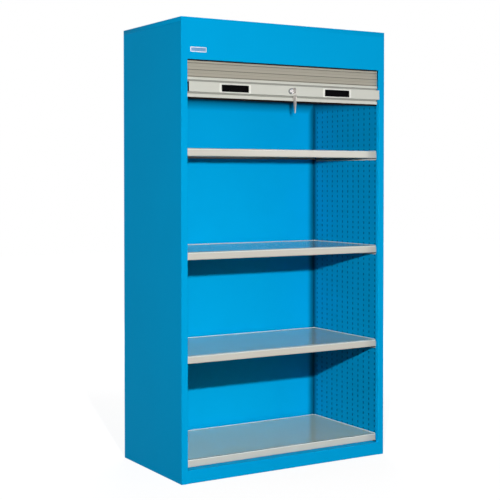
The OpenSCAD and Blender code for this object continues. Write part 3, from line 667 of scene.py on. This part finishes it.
def lock_barrel():
    """The turning cylinder with its keyway and its square-shouldered tail."""
    face, shoulder, end, neck = KNOB_S - 0.4, 6.0, 11.4, 4.0
    slot_w, slot_h, slot_s, beyond = 2.6, 8.6, 2.5, 4.0
    mesh = bmesh.new()
    profile = [(0, face), (CYLINDER_R - 0.5, face), (CYLINDER_R, face + 0.5),
               (CYLINDER_R, shoulder), (neck, shoulder), (neck, end), (0, end)]
    turned(mesh, profile, (LOCK_X, FRONT, AXIS_Z), (0, 1, 0), (1, 0, 0))
    data = bpy.data.meshes.new("keyway")
    cutter = bmesh.new()
    bmesh.ops.create_cube(cutter, size=1.0)
    bmesh.ops.scale(cutter, vec=(slot_w, slot_s - face + beyond, slot_h), verts=cutter.verts)
    bmesh.ops.translate(cutter, verts=cutter.verts,
                        vec=(LOCK_X, FRONT + (slot_s + face - beyond) / 2, AXIS_Z))
    bmesh.ops.scale(cutter, vec=(MM, MM, MM), verts=cutter.verts)
    cutter.to_mesh(data)
    cutter.free()
    barrel = piece("lock_barrel", mesh, "chrome", "lock_cylinder")
    tool = bpy.data.objects.new("keyway", data)
    bpy.context.scene.collection.objects.link(tool)
    cut = barrel.modifiers.new("keyway", "BOOLEAN")
    cut.operation = "DIFFERENCE"
    cut.object = tool
    cut.solver = "EXACT"
    with bpy.context.temp_override(object=barrel, active_object=barrel):
        bpy.ops.object.modifier_apply(modifier=cut.name)
    bpy.data.objects.remove(tool)
    barrel.data.set_sharp_from_angle(angle=math.radians(SHARP))


# The key's bits: how far along the blade each lies, and what is left of the blade's height there
BITS = [(0.10, 0.95), (0.20, 0.55), (0.30, 0.55), (0.40, 0.85), (0.52, 0.45), (0.62, 0.45),
        (0.72, 0.8), (0.86, 0.65), (1.0, 0.3)]


def key_blank(mesh, thick, neck, blade):
    """A flat key in the YZ plane, with its bow round the origin and its blade along +Y.

    neck holds distances from the bow with the half widths there, blade is the blade's length."""
    sides = 36
    upright = Matrix.Rotation(math.pi / 2, 4, "Y")
    off_centre = Matrix.Translation((0, -BOW_HOLE_OFFSET, 0)) @ upright
    circle = bmesh.ops.create_circle
    bow = circle(mesh, segments=sides, radius=BOW_R, matrix=upright)["verts"]
    hole = circle(mesh, segments=sides, radius=BOW_HOLE_R, matrix=off_centre)["verts"]
    rim = list({e for v in bow for e in v.link_edges})
    bmesh.ops.bridge_loops(mesh, edges=rim + list({e for v in hole for e in v.link_edges}))
    nose = [e for e in rim if all(v.co.y > BOW_R * 0.5 for v in e.verts)]
    reach, half = neck[-1]
    stations = [(at, width, width) for at, width in neck]
    stations += [(reach + blade * along, half, half * left) for along, left in BITS]
    for at, back, bitted in stations:
        made = bmesh.ops.extrude_edge_only(mesh, edges=nose)["geom"]
        verts = verts_of(made)
        nose = [g for g in made if isinstance(g, bmesh.types.BMEdge)
                and all(v in verts for v in g.verts)]
        heights = [v.co.z for v in verts]
        low, high = back / -min(heights), bitted / max(heights)
        for v in verts:
            v.co.z *= high if v.co.z > 0 else low
            v.co.y = BOW_R - 1 + at
    extrude(mesh, mesh.faces[:], (thick, 0, 0))
    bmesh.ops.translate(mesh, verts=mesh.verts, vec=(-thick / 2, 0, 0))
    bmesh.ops.remove_doubles(mesh, verts=mesh.verts, dist=0.005)


def lock_key():
    """The key in the lock: its blade thins where it enters the barrel."""
    bow_thick, blade_thick, shoulder, blade = 2.6, 2.2, 6.0, 17.0
    mesh = bmesh.new()
    key_blank(mesh, bow_thick, [(shoulder, BLADE_HALF)], blade)
    for v in mesh.verts:
        if v.co.y > BOW_R + 2:
            v.co.x *= blade_thick / bow_thick
    bmesh.ops.translate(mesh, verts=mesh.verts, vec=(LOCK_X, FRONT + BOW_S, AXIS_Z))
    key = piece("key_in_lock", mesh, "nickel_key", "lock_key")
    key.data.materials[0] = MATERIALS["nickel_key_polished"]


def hanging_key():
    """The spare key, hanging blade down, with a long taper below its bow."""
    thick, taper, blade = 2.2, [(19.0, 8.5), (38.0, 5.0)], 16.0
    mesh = bmesh.new()
    key_blank(mesh, thick, taper, blade)
    bmesh.ops.rotate(mesh, verts=mesh.verts, cent=(0, 0, 0),
                     matrix=Matrix.Rotation(-math.pi / 2, 3, "X"))
    bmesh.ops.translate(mesh, verts=mesh.verts, vec=(LOCK_X, FRONT + RING_S, HANGING_BOW_Z))
    piece("spare_key", mesh, "nickel_key", "hanging_key")


def split_ring():
    """A split ring: nearly two turns of wire side by side."""
    wire, turns = WIRE_R / 2, 1.9
    mesh = bmesh.new()
    coil(mesh, (LOCK_X, FRONT + RING_S - wire, RING_Z), (0, 1, 0), (0, 0, -1), RING_R, wire,
         turns, WIRE_R, 40, 10)
    piece("split_ring", mesh, "nickel_key", "key_ring", 60)


# Drum

def bracket_screws():
    """Hexagon screws on washers, four to a bracket."""
    inner, half_y, half_z = 537.3, 32.0, 38.0
    washer_r, washer, head_r, head, soft = 5.6, 0.8, 4.9, 3.2, 0.5
    y, z = FRONT + DRUM_S - half_y, DRUM_Z - half_z
    outline = [(0, 0), (washer_r, 0), (washer_r, washer), (0, washer)]
    mesh = bmesh.new()
    turned(mesh, outline, (inner, y, z), (-1, 0, 0), (0, 0, 1), 24)
    sideways = Matrix.Rotation(-math.pi / 2, 4, "Y")
    place = Matrix.Translation((inner - washer - head / 2, y, z)) @ sideways
    hexagon = bmesh.ops.create_cone(mesh, cap_ends=True, segments=6, radius1=head_r,
                                    radius2=head_r, depth=head, matrix=place)["verts"]
    crown = {e for v in hexagon for e in v.link_edges
             if all(w.co.x < inner - washer - head + 0.1 for w in e.verts)}
    ease(mesh, crown, soft)
    grid = [(0, 2 * half_y * a, 2 * half_z * b) for a in (0, 1) for b in (0, 1)]
    copies(mesh, grid[1:])
    other = bmesh.ops.duplicate(mesh, geom=mesh.verts[:] + mesh.edges[:] + mesh.faces[:])["geom"]
    bmesh.ops.scale(mesh, vec=(-1, 1, 1), verts=verts_of(other))
    piece("drum_bracket_screws", mesh, "galvanised_steel", "bracket_screws")


def torsion_spring():
    """The counterbalance spring, wound about the axle."""
    half, mean, wire, turns = 350.0, 19.0, 2.6, 88
    mesh = bmesh.new()
    pitch = (2 * half - 2 * wire) / turns
    coil(mesh, (wire - half, FRONT + DRUM_S, DRUM_Z), (1, 0, 0), (0, 0, 1), mean, wire,
         turns, pitch, 16, 6)
    piece("counterbalance_spring", mesh, "spring_steel", "torsion_spring", 70)


roof_cap()
back_rivets()
label_plate()
shelf_rims()
for number in range(1, SET_COUNT + 1):
    slat_set(number)
bottom_seal()
grip_frames()
grip_cups()
lock_knob()
lock_barrel()
lock_key()
hanging_key()
split_ring()
bracket_screws()
torsion_spring()


# Studio

def lamp_at(name, kind, place, aim=None, **settings):
    """A lamp, turned to face a point where it has a direction."""
    data = bpy.data.lights.new(name, kind)
    for key, value in settings.items():
        setattr(data, key, value)
    made = bpy.data.objects.new(name, data)
    made.location = place
    if aim is not None:
        made.rotation_euler = (Vector(aim) - Vector(place)).to_track_quat("-Z", "Y").to_euler()
    bpy.context.scene.collection.objects.link(made)
    return made


def point_watts(level):
    """Power of a point lamp that lights a facing white surface at one metre to level."""
    return 4 * math.pi ** 2 * level


def area_watts(level, distance):
    """Power of an area lamp that lights a facing white surface at a distance to level."""
    return math.pi ** 2 * level * distance ** 2


KEY_PLACE = (-1.40, -2.59, 1.505)
KEY_LEVEL = 0.95
KEY_RADIUS = 0.035

# How strongly the white surroundings light the object; rays that see them directly see them at 1
AMBIENT = 0.045

# The floor: half its width, its drop below the object, the grey that takes the shadows, and the
# glow that lifts it, full from the far distance on
FLOOR_HALF = 14.0
FLOOR_DROP = 0.0005
FLOOR_SHADE = 0.18
FLOOR_GLOW = 0.87
FLOOR_NEAR = 1.6
FLOOR_FAR = 4.0

# The camera, with its tilt and turn in degrees and the picture's shift in widths
CAMERA_PLACE = (-2.83247, -4.61331, 1.31087)
CAMERA_TILT = -1.4117
CAMERA_TURN = -31.3097
CAMERA_LENS = 82.744
CAMERA_SENSOR = 36.0
CAMERA_SHIFT = -0.086

# A small lamp left of the camera, as bright at the back of the shelves as at the front
key = lamp_at("key_lamp", "POINT", KEY_PLACE, energy=point_watts(KEY_LEVEL),
              shadow_soft_size=KEY_RADIUS)
key.data.use_nodes = True
glow = key.data.node_tree
glow.nodes.clear()
even = node(glow, "ShaderNodeLightFalloff", {"Strength": 1.0})
shine = node(glow, "ShaderNodeEmission", {"Strength": even.outputs["Constant"]})
node(glow, "ShaderNodeOutputLight", {"Surface": shine.outputs["Emission"]})

# Large soft lamps for the left side, and for the sides that the camera doesn't see:
# where each stands, what it faces, its width, the level that it gives and how far off
SOFT_LAMPS = {
    "left_fill": ((-4.2, 0.6, 1.6), (-0.54, 0.0, 1.0), 2.0, 0.22, 3.7),
    "right_fill": ((2.6, -3.4, 1.7), (0.1, -0.28, 1.0), 1.6, 0.09, 4.0),
    "side_fill": ((4.2, 0.9, 1.6), (0.54, 0.0, 1.0), 2.0, 0.20, 3.8),
    "rear_fill": ((2.2, 4.0, 2.2), (0.2, 0.3, 1.0), 2.6, 0.55, 4.3),
    "top_fill": ((0.6, 0.9, 4.8), (0.1, 0.1, 2.0), 1.6, 0.50, 2.9),
}
for name, (place, aim, width, level, distance) in SOFT_LAMPS.items():
    lamp_at(name, "AREA", place, aim, shape="RECTANGLE", size=width, size_y=width,
            energy=area_watts(level, distance))


def seen_directly(tree):
    """1 for rays from the camera, mirrors and glass, and 0 for light that falls on the object."""
    path = node(tree, "ShaderNodeLightPath").outputs
    sharp = node(tree, "ShaderNodeMath", {
        0: path["Is Glossy Ray"], 1: path["Is Transmission Ray"]}, operation="MAXIMUM")
    return node(tree, "ShaderNodeMath", {0: path["Is Camera Ray"], 1: sharp.outputs[0]},
                operation="MAXIMUM").outputs[0]


world = bpy.data.worlds.new("studio")
bpy.context.scene.world = world
world.use_nodes = True
sky = world.node_tree
sky.nodes.clear()
amount = node(sky, "ShaderNodeMapRange", {
    "Value": seen_directly(sky), "To Min": AMBIENT, "To Max": 1.0}).outputs["Result"]
backdrop = node(sky, "ShaderNodeBackground", {"Color": (1, 1, 1, 1), "Strength": amount})
node(sky, "ShaderNodeOutputWorld", {"Surface": backdrop.outputs["Background"]})


def studio_floor():
    """A pale floor that reads white where it is lit and keeps the cabinet's shadow."""
    mesh = bmesh.new()
    bmesh.ops.create_grid(mesh, x_segments=1, y_segments=1, size=FLOOR_HALF)
    data = bpy.data.meshes.new("studio_floor")
    mesh.to_mesh(data)
    mesh.free()
    floor = bpy.data.objects.new("studio_floor", data)
    floor.location.z = -FLOOR_DROP
    bpy.context.scene.collection.objects.link(floor)
    made = bpy.data.materials.new("pale_studio_floor")
    made.use_nodes = True
    tree = made.node_tree
    tree.nodes.clear()
    grey = (FLOOR_SHADE, FLOOR_SHADE, FLOOR_SHADE, 1.0)
    shade = node(tree, "ShaderNodeBsdfDiffuse", {"Color": grey})
    where = node(tree, "ShaderNodeTexCoord").outputs["Object"]
    away = node(tree, "ShaderNodeVectorMath", {0: where}, operation="LENGTH").outputs["Value"]
    level = node(tree, "ShaderNodeMapRange", {
        "Value": away, "From Min": FLOOR_NEAR, "From Max": FLOOR_FAR,
        "To Min": FLOOR_GLOW, "To Max": 1.0}).outputs["Result"]
    lift = node(tree, "ShaderNodeMath", {0: seen_directly(tree), 1: level}, operation="MULTIPLY")
    own = node(tree, "ShaderNodeEmission", {"Strength": lift.outputs[0]})
    total = node(tree, "ShaderNodeAddShader", {
        0: shade.outputs["BSDF"], 1: own.outputs["Emission"]})
    node(tree, "ShaderNodeOutputMaterial", {"Surface": total.outputs["Shader"]})
    data.materials.append(made)


studio_floor()

# Camera
view = bpy.data.cameras.new("camera")
view.lens = CAMERA_LENS
view.sensor_width = CAMERA_SENSOR
view.shift_y = CAMERA_SHIFT
camera = bpy.data.objects.new("camera", view)
camera.location = CAMERA_PLACE
camera.rotation_euler = (math.radians(90 + CAMERA_TILT), 0.0, math.radians(CAMERA_TURN))
bpy.context.scene.collection.objects.link(camera)
bpy.context.scene.camera = camera
bpy.context.scene.view_settings.view_transform = "Standard"
